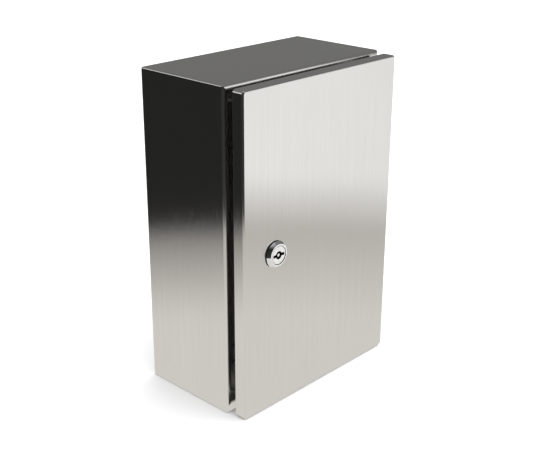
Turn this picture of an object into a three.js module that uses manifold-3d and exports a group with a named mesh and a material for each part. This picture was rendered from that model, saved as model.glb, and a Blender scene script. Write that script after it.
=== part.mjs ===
// Wall-mounting switchboard cabinet of brushed stainless sheet, 300 x 200 x 120 class.
//
// Millimetres. The origin is the centre of the back (wall) face. +Z is up, +X is to the right
// seen from the front, and the door faces -Y, so every place in front of the wall has y < 0.
// The hinges are on the right, in the recess between body and door, and the lock is on the left.

import * as THREE from 'three';
import { mergeVertices } from 'three/addons/utils/BufferGeometryUtils.js';
import Module from 'manifold-3d';

const wasm = await Module();
wasm.setup();

// ---------------------------------------------------------------- driving dimensions

const HEIGHT = 300;
const WIDTH = 200;
const BODY_DEPTH = 102; // wall face to front return
const DOOR_GAP = 8.5; // front return to the door flange's rear edge
const DOOR_DEPTH = 12; // the door flange's rear edge to the door's front
const DOOR_INSET = 1.5; // the door is this much smaller than the body on each side
const SHEET = 1.5; // sheet thickness of body and door
const BEND = 2.5; // outside radius of a fold
const CORNER = 3; // outside radius of a welded and ground corner
const CLEARANCE = 0.3; // between pieces that touch

const RETURN_WIDTH = 14; // front return, from the body's side to the lip's outer face
const LIP_REACH = 10.5; // how far the lip stands in front of the return
const GASKET_WIDTH = 10;

const HINGE_HOLE_INSET = 9.5; // from the body's side
const HINGE_FROM_END = 58.5; // hinge centre from the body's top or base
const HINGE_HOLE_PITCH = 15;
const HINGE_HOLE_RADIUS = 2.25;

const LOCK_FROM_SIDE = 40; // lock axis from the body's left side
const LOCK_HOLE_RADIUS = 10.9;

const WALL_HOLE_PITCH_X = 160;
const WALL_HOLE_PITCH_Z = 260;
const WALL_HOLE_RADIUS = 4.25;

const PLATE_WIDTH = 150; // mounting plate
const PLATE_HEIGHT = 250;
const PLATE_SHEET = 2;
const PLATE_STAND_OFF = 14; // wall face to the mounting plate's rear face
const PLATE_STUD_INSET = 12.5;
const PLATE_CORNER = 26; // side of the plate's pressed-back corners

const GLAND_CUT_WIDTH = 120; // cable entry in the base
const GLAND_CUT_DEPTH = 50;
const GLAND_CENTRE_Y = -55;
const GLAND_PLATE_WIDTH = 156;
const GLAND_PLATE_DEPTH = 80;
const GLAND_STUD_INSET = 8;
const GLAND_TRAY_MARGIN = 2; // from the cut-out's edge to the plate's pressed-down tray

// ---------------------------------------------------------------- places that follow from them

const RETURN_FACE = -BODY_DEPTH;
const RETURN_BACK = RETURN_FACE + SHEET;
const LIP_EDGE = RETURN_FACE - LIP_REACH;
const DOOR_REAR = RETURN_FACE - DOOR_GAP;
const DOOR_FRONT = DOOR_REAR - DOOR_DEPTH;
const DOOR_INNER = DOOR_FRONT + SHEET;
const DOOR_WIDTH = WIDTH - 2 * DOOR_INSET;
const DOOR_HEIGHT = HEIGHT - 2 * DOOR_INSET;
const LIP_WIDTH = WIDTH - 2 * RETURN_WIDTH;
const LIP_HEIGHT = HEIGHT - 2 * RETURN_WIDTH;
const BASE = -HEIGHT / 2;
const FLOOR = BASE + SHEET; // inner face of the base

const HINGE_X = WIDTH / 2 - HINGE_HOLE_INSET; // screw line of the hinges
const HINGE_Z = HEIGHT / 2 - HINGE_FROM_END;
const PIN_X = 96.5; // hinge axis
const PIN_Y = -107.5;
const LOCK_X = -WIDTH / 2 + LOCK_FROM_SIDE;

// ---------------------------------------------------------------- materials

const finish = (color, roughness, metalness) =>
  new THREE.MeshStandardMaterial({ color, roughness, metalness });
const stainless = finish(0xc9c7c2, 0.38, 1);
const hingeSteel = finish(0xb4b3b0, 0.42, 1);
const chrome = finish(0xe2e3e5, 0.08, 1);
const zincPlate = finish(0xb9bcc0, 0.45, 1);
const blackPlastic = finish(0x17181a, 0.55, 0);
const foam = finish(0x2b2c2e, 0.9, 0);
const sealRubber = finish(0x1b1b1c, 0.7, 0);

// ---------------------------------------------------------------- geometry helpers

// A closed three.js geometry as a manifold solid, without the zero-area faces at a lathe's axis.
function toSolid(geometry) {
  const bare = geometry.clone();
  bare.deleteAttribute('normal');
  bare.deleteAttribute('uv');
  const merged = mergeVertices(bare, 1e-4);
  const index = merged.index.array;
  const triVerts = [];
  for (let i = 0; i < index.length; i += 3) {
    const [a, b, c] = [index[i], index[i + 1], index[i + 2]];
    if (a !== b && b !== c && c !== a) triVerts.push(a, b, c);
  }
  return new wasm.Manifold(new wasm.Mesh({
    numProp: 3,
    vertProperties: merged.attributes.position.array,
    triVerts: new Uint32Array(triVerts),
  }));
}

function toGeometry(solid) {
  const mesh = solid.getMesh();
  const geometry = new THREE.BufferGeometry();
  geometry.setAttribute('position', new THREE.BufferAttribute(mesh.vertProperties, 3));
  geometry.setIndex(new THREE.BufferAttribute(mesh.triVerts, 1));
  geometry.computeVertexNormals();
  return geometry;
}

// Joins the geometries in `parts` and cuts those in `holes` out of the result.
function make(parts, holes = []) {
  let solid = toSolid(parts[0]);
  for (const part of parts.slice(1)) solid = solid.add(toSolid(part));
  for (const hole of holes) solid = solid.subtract(toSolid(hole));
  return toGeometry(solid);
}

function roundedRect(width, height, radius, cx = 0, cy = 0) {
  const right = cx + width / 2 - radius;
  const left = cx - width / 2 + radius;
  const top = cy + height / 2 - radius;
  const bottom = cy - height / 2 + radius;
  const shape = new THREE.Shape();
  shape.absarc(right, bottom, radius, -Math.PI / 2, 0);
  shape.absarc(right, top, radius, 0, Math.PI / 2);
  shape.absarc(left, top, radius, Math.PI / 2, Math.PI);
  shape.absarc(left, bottom, radius, Math.PI, 1.5 * Math.PI);
  shape.closePath();
  return shape;
}

// An X-Z outline made thick along Y, from `back` forward to `front`.
function slabY(shape, back, front, curveSegments = 2) {
  const geometry = new THREE.ExtrudeGeometry(shape, {
    depth: back - front,
    bevelEnabled: false,
    curveSegments,
  });
  geometry.rotateX(Math.PI / 2);
  geometry.translate(0, back, 0);
  return geometry;
}

// An X-Y outline made thick along Z, from `low` up to `high`.
function slabZ(shape, low, high, curveSegments = 2) {
  const geometry = new THREE.ExtrudeGeometry(shape, {
    depth: high - low,
    bevelEnabled: false,
    curveSegments,
  });
  geometry.translate(0, 0, low);
  return geometry;
}

// A box from `back` to `front` with folded, rounded edges all round.
function foldedBox(width, height, back, front) {
  const geometry = new THREE.ExtrudeGeometry(roundedRect(width, height, CORNER), {
    depth: back - front - 2 * BEND,
    bevelThickness: BEND,
    bevelSize: BEND,
    bevelOffset: -BEND,
    bevelSegments: 3,
    curveSegments: 2,
  });
  geometry.rotateX(Math.PI / 2);
  geometry.translate(0, back - BEND, 0);
  return geometry;
}

function rodY(radius, back, front, sides = 16) {
  const geometry = new THREE.CylinderGeometry(radius, radius, back - front, sides);
  geometry.translate(0, (back + front) / 2, 0);
  return geometry;
}

function rodZ(radius, low, high, sides = 12) {
  const geometry = new THREE.CylinderGeometry(radius, radius, high - low, sides);
  geometry.rotateX(Math.PI / 2);
  geometry.translate(0, 0, (high + low) / 2);
  return geometry;
}

function blockY(width, height, back, front) {
  const geometry = new THREE.BoxGeometry(width, back - front, height);
  geometry.translate(0, (back + front) / 2, 0);
  return geometry;
}

// A body of revolution about Y; the [radius, y] points run from the front to the back.
function turned(profile, sides = 16) {
  return new THREE.LatheGeometry(profile.map(([r, y]) => new THREE.Vector2(r, y)), sides);
}

const at = (geometry, x, y, z) => geometry.translate(x, y, z);

// The four corners of a rectangle, named as seen from the front.
function corners(pitchX, pitchZ) {
  return [
    ['upper_left', -pitchX / 2, pitchZ / 2],
    ['upper_right', pitchX / 2, pitchZ / 2],
    ['lower_left', -pitchX / 2, -pitchZ / 2],
    ['lower_right', pitchX / 2, -pitchZ / 2],
  ];
}

const cabinet = new THREE.Group();

function add(name, geometry, material, x = 0, y = 0, z = 0) {
  const mesh = new THREE.Mesh(geometry, material);
  mesh.name = name;
  mesh.position.set(x, y, z);
  cabinet.add(mesh);
}

// The hinge-screw holes of one side: two at each hinge.
function hingeHoles(x) {
  const holes = [];
  for (const hingeZ of [HINGE_Z, -HINGE_Z]) {
    for (const side of [1, -1]) holes.push([x, hingeZ + side * HINGE_HOLE_PITCH / 2]);
  }
  return holes;
}

// ---------------------------------------------------------------- body

// One folded and welded shell: back and four sides, a return round the front, and a lip that
// stands forward from the return's inner edge into the door's gasket.
function bodyShell() {
  const cavity = slabY(roundedRect(WIDTH - 2 * SHEET, HEIGHT - 2 * SHEET, CORNER - SHEET),
    -SHEET, RETURN_BACK);
  const lip = slabY(roundedRect(LIP_WIDTH, LIP_HEIGHT, CORNER + SHEET),
    RETURN_FACE + SHEET / 2, LIP_EDGE);
  const opening = slabY(roundedRect(LIP_WIDTH - 2 * SHEET, LIP_HEIGHT - 2 * SHEET, CORNER),
    RETURN_BACK + SHEET, LIP_EDGE - SHEET);
  const glandCut = slabZ(roundedRect(GLAND_CUT_WIDTH, GLAND_CUT_DEPTH, 5, 0, GLAND_CENTRE_Y),
    BASE - SHEET, FLOOR + SHEET);
  const wallHoles = corners(WALL_HOLE_PITCH_X, WALL_HOLE_PITCH_Z)
    .map(([, x, z]) => at(rodY(WALL_HOLE_RADIUS, SHEET, -2 * SHEET), x, 0, z));
  const screwHoles = [...hingeHoles(HINGE_X), ...hingeHoles(-HINGE_X)]
    .map(([x, z]) => at(rodY(HINGE_HOLE_RADIUS, RETURN_BACK + 1, RETURN_FACE - 1, 12), x, 0, z));
  return make([foldedBox(WIDTH, HEIGHT, 0, RETURN_FACE), lip],
    [cavity, opening, glandCut, ...wallHoles, ...screwHoles]);
}
add('body_shell', bodyShell(), stainless);

// Blanking plugs: the head is inside and the shank fills the hole without passing it.
function wallPlug() {
  return turned([[0, -CLEARANCE], [4, -CLEARANCE], [4, -SHEET - CLEARANCE],
    [7, -SHEET - CLEARANCE], [7, -SHEET - 1.8], [6, -SHEET - 2.8], [0, -SHEET - 2.8]].reverse());
}
for (const [corner, x, z] of corners(WALL_HOLE_PITCH_X, WALL_HOLE_PITCH_Z)) {
  add(`wall_hole_plug_${corner}`, toGeometry(toSolid(wallPlug())), blackPlastic, x, 0, z);
}

function hingeHolePlug() {
  const headFace = RETURN_BACK + CLEARANCE;
  return turned([[0, RETURN_FACE + 0.5], [1.95, RETURN_FACE + 0.5], [1.95, headFace],
    [4, headFace], [4, headFace + 1.5], [0, headFace + 1.5]], 12);
}
hingeHoles(-HINGE_X).forEach(([x, z], i) => {
  add(`hinge_hole_plug_${i + 1}`, toGeometry(toSolid(hingeHolePlug())), blackPlastic, x, 0, z);
});

// ---------------------------------------------------------------- door

// A pan: a flat front with flanges turned back on all four sides.
function doorPanel() {
  const trim = blockY(WIDTH, HEIGHT, DOOR_REAR + 3 * BEND, DOOR_REAR);
  const hollow = slabY(roundedRect(DOOR_WIDTH - 2 * SHEET, DOOR_HEIGHT - 2 * SHEET,
    CORNER - SHEET), DOOR_REAR + SHEET, DOOR_INNER);
  const lockHole = at(rodY(LOCK_HOLE_RADIUS, DOOR_INNER + 1, DOOR_FRONT - 1, 32), LOCK_X, 0, 0);
  return make([foldedBox(DOOR_WIDTH, DOOR_HEIGHT, DOOR_REAR + 2 * BEND, DOOR_FRONT)],
    [trim, hollow, lockHole]);
}
add('door_panel', doorPanel(), stainless);

// The gasket's middle line lies over the lip all the way round.
function doorGasket() {
  const width = LIP_WIDTH - SHEET;
  const height = LIP_HEIGHT - SHEET;
  const ring = roundedRect(width + GASKET_WIDTH, height + GASKET_WIDTH, 9);
  ring.holes.push(roundedRect(width - GASKET_WIDTH, height - GASKET_WIDTH, 4));
  return slabY(ring, LIP_EDGE - CLEARANCE, DOOR_INNER + CLEARANCE, 3);
}
add('door_gasket', doorGasket(), foam);

// ---------------------------------------------------------------- hinges

const KNUCKLE_RADIUS = 2.7;
const PIN_RADIUS = 1.5;
const PIN_BORE = PIN_RADIUS + CLEARANCE;
const MIDDLE_KNUCKLE = 11.5; // half length of the door half's knuckle
const END_KNUCKLE = 22; // outer end of the fixed half's two knuckles
const HINGE_PLATE = 1.5;
const FIXED_PLATE_BACK = RETURN_FACE - CLEARANCE;
const FIXED_PLATE_FRONT = FIXED_PLATE_BACK - HINGE_PLATE;
const FIXED_PLATE_LEFT = 87.3;
const WEB_RIGHT = PIN_X + 1; // the web ends here so that the opened door flange clears it

function pinBore() {
  const bore = new THREE.Path();
  bore.absarc(PIN_X, PIN_Y, PIN_BORE, 0, 2 * Math.PI);
  return bore;
}

// A flat plate on the front return, with a knuckle near each end that a web holds forward.
function hingeFixedHalf() {
  const plate = slabZ(roundedRect(WEB_RIGHT - FIXED_PLATE_LEFT, HINGE_PLATE, 0.2,
    (WEB_RIGHT + FIXED_PLATE_LEFT) / 2, (FIXED_PLATE_BACK + FIXED_PLATE_FRONT) / 2),
  -END_KNUCKLE - 1, END_KNUCKLE + 1, 1);
  const turnsIn = Math.acos((WEB_RIGHT - PIN_X) / KNUCKLE_RADIUS);
  const side = new THREE.Shape();
  side.moveTo(PIN_X - KNUCKLE_RADIUS, FIXED_PLATE_BACK - HINGE_PLATE / 2);
  side.absarc(PIN_X, PIN_Y, KNUCKLE_RADIUS, Math.PI, 2 * Math.PI + turnsIn);
  side.lineTo(WEB_RIGHT, FIXED_PLATE_BACK - HINGE_PLATE / 2);
  side.holes.push(pinBore());
  const low = MIDDLE_KNUCKLE + CLEARANCE;
  const knuckles = [slabZ(side, low, END_KNUCKLE, 6), slabZ(side, -END_KNUCKLE, -low, 6)];
  const holes = [1, -1].map((s) => at(rodY(HINGE_HOLE_RADIUS, FIXED_PLATE_BACK + 1,
    FIXED_PLATE_FRONT - 1, 12), HINGE_X, 0, s * HINGE_HOLE_PITCH / 2));
  return make([plate, ...knuckles], holes);
}

// A plate spot-welded inside the door's right flange, curled round the pin between the knuckles.
function hingeDoorHalf() {
  const right = WIDTH / 2 - DOOR_INSET - SHEET - CLEARANCE;
  const left = right - HINGE_PLATE;
  const rear = DOOR_REAR - 0.05;
  const front = DOOR_INNER + 1;
  const plate = slabZ(roundedRect(HINGE_PLATE, rear - front, 0.2,
    (left + right) / 2, (rear + front) / 2), -END_KNUCKLE + 2, END_KNUCKLE - 2, 1);
  const startAngle = Math.PI + Math.acos((PIN_X - left) / KNUCKLE_RADIUS);
  const endAngle = -Math.acos((right - PIN_X) / KNUCKLE_RADIUS);
  const curl = new THREE.Shape();
  curl.moveTo(left, rear - 1);
  curl.absarc(PIN_X, PIN_Y, KNUCKLE_RADIUS, startAngle, endAngle, true);
  curl.lineTo(right, rear - 1);
  curl.holes.push(pinBore());
  return make([plate, slabZ(curl, -MIDDLE_KNUCKLE, MIDDLE_KNUCKLE, 6)]);
}

function hingePin() {
  const head = rodZ(2.5, END_KNUCKLE + CLEARANCE, END_KNUCKLE + 1.8, 16);
  return at(make([rodZ(PIN_RADIUS, -END_KNUCKLE - 1, END_KNUCKLE + 1), head]), PIN_X, PIN_Y, 0);
}

const SCREW_HEAD_BACK = FIXED_PLATE_FRONT - CLEARANCE;
const BACKING_FRONT = RETURN_BACK + CLEARANCE;
const BACKING_THICKNESS = 3;

function hingeScrew() {
  const headFront = SCREW_HEAD_BACK - 1.9;
  const tip = BACKING_FRONT + BACKING_THICKNESS + 1;
  const socket = new THREE.CylinderGeometry(1.45, 1.45, 2.4, 6);
  socket.translate(0, headFront, 0);
  return make([turned([[0, headFront], [2.7, headFront], [3.3, headFront + 0.6],
    [3.3, SCREW_HEAD_BACK], [2, SCREW_HEAD_BACK], [2, tip], [0, tip]], 12)], [socket]);
}

function hingeBackingPlate() {
  const holes = [1, -1].map((s) => at(rodY(2.3, BACKING_FRONT + 5, BACKING_FRONT - 1, 12),
    0, 0, s * HINGE_HOLE_PITCH / 2));
  return make([slabY(roundedRect(8.4, 28, 1.5), BACKING_FRONT + BACKING_THICKNESS,
    BACKING_FRONT)], holes);
}

for (const [place, z] of [['upper', HINGE_Z], ['lower', -HINGE_Z]]) {
  add(`hinge_fixed_half_${place}`, hingeFixedHalf(), hingeSteel, 0, 0, z);
  add(`hinge_door_half_${place}`, hingeDoorHalf(), hingeSteel, 0, 0, z);
  add(`hinge_pin_${place}`, hingePin(), hingeSteel, 0, 0, z);
  add(`hinge_backing_plate_${place}`, hingeBackingPlate(), zincPlate, HINGE_X, 0, z);
  for (const [end, s] of [['top', 1], ['bottom', -1]]) {
    add(`hinge_screw_${place}_${end}`, hingeScrew(), zincPlate,
      HINGE_X, 0, z + s * HINGE_HOLE_PITCH / 2);
  }
}

// ---------------------------------------------------------------- lock

const BEZEL_BASE = DOOR_FRONT - 1.2;
const BEZEL_FACE = DOOR_FRONT - 4.1;
const BEZEL_RADIUS = 12.6;
const BARREL_RADIUS = 10.6;
const ROTOR_RADIUS = 8.2;
const ROTOR_SHOULDER = DOOR_INNER + 2;
const NECK_RADIUS = 7;
const CAM_FRONT = RETURN_BACK + 1.2; // the cam passes just behind the front return
const CAM_THICKNESS = 2.5;
const CAM_BACK = CAM_FRONT + CAM_THICKNESS;
const CAM_REACH = 33.5; // lock axis to the cam's tip
const CAM_HALF_WIDTH = 8;
const DRIVE_SIZE = 8; // square drive of the cam
const BARREL_BACK = CAM_FRONT - 1.2;

// A bezel with a sloped rim, on a barrel that passes through the door.
function lockHousing() {
  return make([turned([
    [ROTOR_RADIUS + CLEARANCE, BEZEL_FACE], [9.9, BEZEL_FACE], [10.3, BEZEL_FACE + 0.3],
    [BEZEL_RADIUS - 0.3, BEZEL_BASE - 0.5], [BEZEL_RADIUS, BEZEL_BASE],
    [BARREL_RADIUS, BEZEL_BASE], [BARREL_RADIUS, BARREL_BACK - 0.6],
    [BARREL_RADIUS - 0.6, BARREL_BACK], [NECK_RADIUS + CLEARANCE, BARREL_BACK],
    [NECK_RADIUS + CLEARANCE, ROTOR_SHOULDER], [ROTOR_RADIUS + CLEARANCE, ROTOR_SHOULDER],
    [ROTOR_RADIUS + CLEARANCE, BEZEL_FACE]], 32)]);
}

function lockSeal() {
  const front = BEZEL_BASE + CLEARANCE;
  const back = DOOR_FRONT - CLEARANCE;
  return make([rodY(BEZEL_RADIUS - 0.8, back, front, 32)],
    [rodY(BARREL_RADIUS + CLEARANCE, back + 1, front - 1, 32)]);
}

// The rotor's front holds a 3 mm double-bit keyhole: a round recess with a centre pin and two
// wings. Its back is a square drive with a tapped hole.
function lockRotor() {
  const face = BEZEL_FACE + CLEARANCE;
  const neckEnd = CAM_FRONT - CLEARANCE;
  const driveEnd = CAM_BACK - CLEARANCE;
  const recessDepth = 6;
  const wing = toSolid(blockY(14, 2.6, face + recessDepth, face - 1))
    .intersect(toSolid(rodY(6.9, face + recessDepth + 1, face - 2, 28)));
  const recess = wing.add(toSolid(rodY(3.7, face + recessDepth, face - 1, 24)))
    .subtract(toSolid(rodY(1.5, face + recessDepth + 1, face + 0.4, 16)));
  const profile = [[0, face], [ROTOR_RADIUS - 0.3, face], [ROTOR_RADIUS, face + 0.3],
    [ROTOR_RADIUS, ROTOR_SHOULDER - CLEARANCE], [NECK_RADIUS, ROTOR_SHOULDER - CLEARANCE],
    [NECK_RADIUS, neckEnd], [0, neckEnd]];
  const rotor = toSolid(turned(profile, 32))
    .add(toSolid(blockY(DRIVE_SIZE, DRIVE_SIZE, driveEnd, neckEnd - 2)))
    .subtract(recess)
    .subtract(toSolid(rodY(2.4, driveEnd + 1, driveEnd - 9, 16)));
  return toGeometry(rotor);
}

function lockNut() {
  const front = DOOR_INNER + CLEARANCE;
  const back = front + 5;
  const hex = rodY(27 / Math.sqrt(3), back, front, 6);
  return make([hex], [rodY(BARREL_RADIUS + CLEARANCE, back + 1, front - 1, 24)]);
}

// At rest the cam points straight down: the lock is open. A quarter turn swings its tip
// behind the left front return.
function lockCam() {
  const tipCentre = -CAM_REACH + CAM_HALF_WIDTH;
  const outline = new THREE.Shape();
  outline.absarc(0, 0, CAM_HALF_WIDTH + 1, 0, Math.PI);
  outline.lineTo(-CAM_HALF_WIDTH, tipCentre);
  outline.absarc(0, tipCentre, CAM_HALF_WIDTH, Math.PI, 2 * Math.PI);
  outline.closePath();
  const square = DRIVE_SIZE + 2 * CLEARANCE;
  return make([slabY(outline, CAM_BACK, CAM_FRONT, 6)],
    [blockY(square, square, CAM_BACK + 1, CAM_FRONT - 1)]);
}

function lockCamScrew() {
  const headFront = CAM_BACK + CLEARANCE;
  const headBack = headFront + 3.2;
  const socket = new THREE.CylinderGeometry(2.3, 2.3, 4, 6);
  socket.translate(0, headBack, 0);
  return make([turned([[0, headFront - 7], [2.1, headFront - 7], [2.1, headFront],
    [6.4, headFront], [6.4, headBack - 0.7], [5.7, headBack], [0, headBack]])], [socket]);
}

add('lock_housing', lockHousing(), chrome, LOCK_X, 0, 0);
add('lock_seal', lockSeal(), sealRubber, LOCK_X, 0, 0);
add('lock_rotor', lockRotor(), chrome, LOCK_X, 0, 0);
add('lock_nut', lockNut(), zincPlate, LOCK_X, 0, 0);
add('lock_cam', lockCam(), zincPlate, LOCK_X, 0, 0);
add('lock_cam_screw', lockCamScrew(), zincPlate, LOCK_X, 0, 0);

// ---------------------------------------------------------------- mounting plate

const PLATE_BACK = -PLATE_STAND_OFF;
const PLATE_FRONT = PLATE_BACK - PLATE_SHEET;
const LUG_BACK = PLATE_BACK + PLATE_SHEET;
const LUG_FRONT = PLATE_BACK;
const PLATE_STUDS = corners(PLATE_WIDTH - 2 * PLATE_STUD_INSET,
  PLATE_HEIGHT - 2 * PLATE_STUD_INSET);
const M8_RADIUS = 3.9;
const M8_BORE = M8_RADIUS + CLEARANCE;
const WASHER_THICKNESS = 1.6;
const M8_NUT_THICKNESS = 6.5;

// The four corners are pressed back by the sheet's thickness, so that the washers stay behind
// the flat face that the equipment is fixed to.
function mountingPlate() {
  const outline = roundedRect(PLATE_WIDTH, PLATE_HEIGHT, 4);
  const face = slabY(outline, PLATE_BACK, PLATE_FRONT);
  const lugs = slabY(outline, LUG_BACK, LUG_FRONT);
  const cornerPitch = corners(PLATE_WIDTH - PLATE_CORNER, PLATE_HEIGHT - PLATE_CORNER);
  const pressed = cornerPitch.map(([, x, z]) =>
    at(blockY(PLATE_CORNER + 1, PLATE_CORNER + 1, PLATE_BACK + 1e-3, PLATE_FRONT - 1), x, 0, z));
  const middle = [
    blockY(PLATE_WIDTH + 2, PLATE_HEIGHT - 2 * (PLATE_CORNER + PLATE_SHEET), LUG_BACK + 1,
      LUG_FRONT),
    blockY(PLATE_WIDTH - 2 * (PLATE_CORNER + PLATE_SHEET), PLATE_HEIGHT + 2, LUG_BACK + 1,
      LUG_FRONT),
  ];
  const holes = PLATE_STUDS.map(([, x, z]) => at(rodY(4.5, LUG_BACK + 1, LUG_FRONT - 1), x, 0, z));
  let plate = toSolid(face);
  for (const block of pressed) plate = plate.subtract(toSolid(block));
  let cornerLugs = toSolid(lugs);
  for (const block of [...middle, ...holes]) cornerLugs = cornerLugs.subtract(toSolid(block));
  return toGeometry(plate.add(cornerLugs));
}
add('mounting_plate', mountingPlate(), zincPlate);

// A shouldered stud welded to the back wall carries each corner of the plate.
function plateStud() {
  const tip = LUG_FRONT - WASHER_THICKNESS - M8_NUT_THICKNESS - 2.4;
  return make([turned([[0, tip], [M8_RADIUS - 0.7, tip], [M8_RADIUS, tip + 0.7],
    [M8_RADIUS, LUG_BACK + CLEARANCE], [6.5, LUG_BACK + CLEARANCE],
    [6.5, -SHEET - CLEARANCE], [0, -SHEET - CLEARANCE]])]);
}

function plateWasher() {
  const back = LUG_FRONT - CLEARANCE;
  const front = back - WASHER_THICKNESS;
  return make([rodY(8, back, front, 20)], [rodY(M8_BORE, back + 1, front - 1)]);
}

// A hexagon nut with its back face at y = back.
function hexNut(acrossFlats, bore, thickness, back) {
  const front = back - thickness;
  const hex = rodY(acrossFlats / Math.sqrt(3), back, front, 6);
  return make([hex], [rodY(bore, back + 1, front - 1, 12)]);
}

for (const [corner, x, z] of PLATE_STUDS) {
  add(`plate_stud_${corner}`, plateStud(), stainless, x, 0, z);
  add(`plate_washer_${corner}`, plateWasher(), zincPlate, x, 0, z);
  add(`plate_nut_${corner}`, hexNut(13, M8_BORE, M8_NUT_THICKNESS,
    LUG_FRONT - WASHER_THICKNESS - 2 * CLEARANCE), zincPlate, x, 0, z);
}

// ---------------------------------------------------------------- gland plate

const GLAND_GASKET_THICKNESS = 2;
const GLAND_PLATE_THICKNESS = 2;
const GLAND_GASKET_LOW = FLOOR + CLEARANCE;
const GLAND_PLATE_LOW = GLAND_GASKET_LOW + GLAND_GASKET_THICKNESS + CLEARANCE;
const GLAND_PLATE_TOP = GLAND_PLATE_LOW + GLAND_PLATE_THICKNESS;
const GLAND_TRAY_LOW = GLAND_PLATE_LOW - 1.5;
const M5_RADIUS = 2.4;
const M5_BORE = M5_RADIUS + CLEARANCE;
const GLAND_STUDS = corners(GLAND_PLATE_WIDTH - 2 * GLAND_STUD_INSET,
  GLAND_PLATE_DEPTH - 2 * GLAND_STUD_INSET);

const glandStudHoles = (radius) => GLAND_STUDS.map(([, x, y]) =>
  at(rodZ(radius, FLOOR, GLAND_PLATE_TOP + 1), x, GLAND_CENTRE_Y + y, 0));

function glandGasket() {
  const ring = roundedRect(GLAND_PLATE_WIDTH, GLAND_PLATE_DEPTH, 4, 0, GLAND_CENTRE_Y);
  ring.holes.push(roundedRect(GLAND_CUT_WIDTH + 4, GLAND_CUT_DEPTH + 4, 5, 0, GLAND_CENTRE_Y));
  const low = GLAND_GASKET_LOW;
  return make([slabZ(ring, low, low + GLAND_GASKET_THICKNESS)], glandStudHoles(3));
}

// A flat plate with a tray pressed down into the cut-out, where the cable glands go.
function glandPlate() {
  const outline = roundedRect(GLAND_PLATE_WIDTH, GLAND_PLATE_DEPTH, 4, 0, GLAND_CENTRE_Y);
  const tray = (inset) => roundedRect(GLAND_CUT_WIDTH - 2 * inset, GLAND_CUT_DEPTH - 2 * inset,
    4, 0, GLAND_CENTRE_Y);
  const under = slabZ(tray(GLAND_TRAY_MARGIN), GLAND_TRAY_LOW, GLAND_PLATE_LOW + 1);
  const hollow = slabZ(tray(GLAND_TRAY_MARGIN + GLAND_PLATE_THICKNESS),
    GLAND_TRAY_LOW + GLAND_PLATE_THICKNESS, GLAND_PLATE_TOP + 1);
  return make([slabZ(outline, GLAND_PLATE_LOW, GLAND_PLATE_TOP), under],
    [hollow, ...glandStudHoles(2.8)]);
}

add('gland_gasket', glandGasket(), foam);
add('gland_plate', glandPlate(), stainless);
for (const [corner, x, y] of GLAND_STUDS) {
  const place = corner.replace('upper', 'rear').replace('lower', 'front');
  const nut = hexNut(8, M5_BORE, 4, 0);
  nut.rotateX(-Math.PI / 2);
  add(`gland_stud_${place}`, rodZ(M5_RADIUS, FLOOR + CLEARANCE, GLAND_PLATE_TOP + 6.5),
    stainless, x, GLAND_CENTRE_Y + y, 0);
  add(`gland_nut_${place}`, nut, zincPlate,
    x, GLAND_CENTRE_Y + y, GLAND_PLATE_TOP + CLEARANCE);
}

// ---------------------------------------------------------------- earth points

const M6_RADIUS = 2.9;
const EARTH_NUT_THICKNESS = 5;

function earthStud(length) {
  return rodY(M6_RADIUS, -CLEARANCE, -length, 12);
}

add('body_earth_stud', earthStud(18), stainless, 0, -SHEET, BASE + 14);
add('body_earth_nut', hexNut(10, M6_RADIUS + CLEARANCE, EARTH_NUT_THICKNESS, -1), zincPlate,
  0, -SHEET, BASE + 14);

const DOOR_EARTH_X = 55;
const DOOR_EARTH_Z = -100;
add('door_earth_stud', earthStud(15), stainless,
  DOOR_EARTH_X, DOOR_INNER + CLEARANCE + 15, DOOR_EARTH_Z);
add('door_earth_nut', hexNut(10, M6_RADIUS + CLEARANCE, EARTH_NUT_THICKNESS, 0), zincPlate,
  DOOR_EARTH_X, DOOR_INNER + 1 + EARTH_NUT_THICKNESS, DOOR_EARTH_Z);

export default cabinet;
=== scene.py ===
"""Looks for the wall-mounting switchboard cabinet: brushed stainless body and flanged door,
chromed quarter-turn lock, and the zinc-plated and moulded pieces inside.

Metres, in the CAD frame: the origin is the centre of the back face, +Z is up, +X is to the
right seen from the front, and the door faces -Y."""

import math

import bmesh
import bpy
from mathutils import Matrix, Vector


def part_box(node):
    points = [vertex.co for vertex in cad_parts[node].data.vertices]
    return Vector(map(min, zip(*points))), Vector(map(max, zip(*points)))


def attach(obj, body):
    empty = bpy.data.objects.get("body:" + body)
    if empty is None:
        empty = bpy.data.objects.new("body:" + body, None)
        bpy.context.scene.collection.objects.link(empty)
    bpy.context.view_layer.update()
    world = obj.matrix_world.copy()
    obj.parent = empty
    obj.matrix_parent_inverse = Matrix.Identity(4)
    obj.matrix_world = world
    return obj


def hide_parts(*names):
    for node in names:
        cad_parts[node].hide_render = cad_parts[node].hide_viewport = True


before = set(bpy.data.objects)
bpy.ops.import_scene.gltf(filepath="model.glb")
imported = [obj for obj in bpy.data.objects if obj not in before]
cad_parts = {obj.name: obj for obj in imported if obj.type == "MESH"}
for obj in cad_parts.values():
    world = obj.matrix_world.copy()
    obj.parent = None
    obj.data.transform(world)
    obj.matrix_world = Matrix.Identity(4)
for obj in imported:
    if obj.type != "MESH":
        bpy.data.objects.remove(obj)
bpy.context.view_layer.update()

MM = 0.001
SAME_POINT = 1e-7
ALONG_Y = (0, 1, 0)
ALONG_Z = (0, 0, 1)
CORNERS = ("upper_left", "upper_right", "lower_left", "lower_right")
GLAND_STUDS = ("rear_left", "rear_right", "front_left", "front_right")
HINGE_HOLES = range(1, 5)

# ---------------------------------------------------------------- places taken from the frame

BODY_LOW, BODY_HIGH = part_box("body_shell")
DOOR_LOW, DOOR_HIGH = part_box("door_panel")
GASKET_LOW, GASKET_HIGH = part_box("door_gasket")
BEZEL_LOW, BEZEL_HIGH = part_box("lock_housing")

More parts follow.
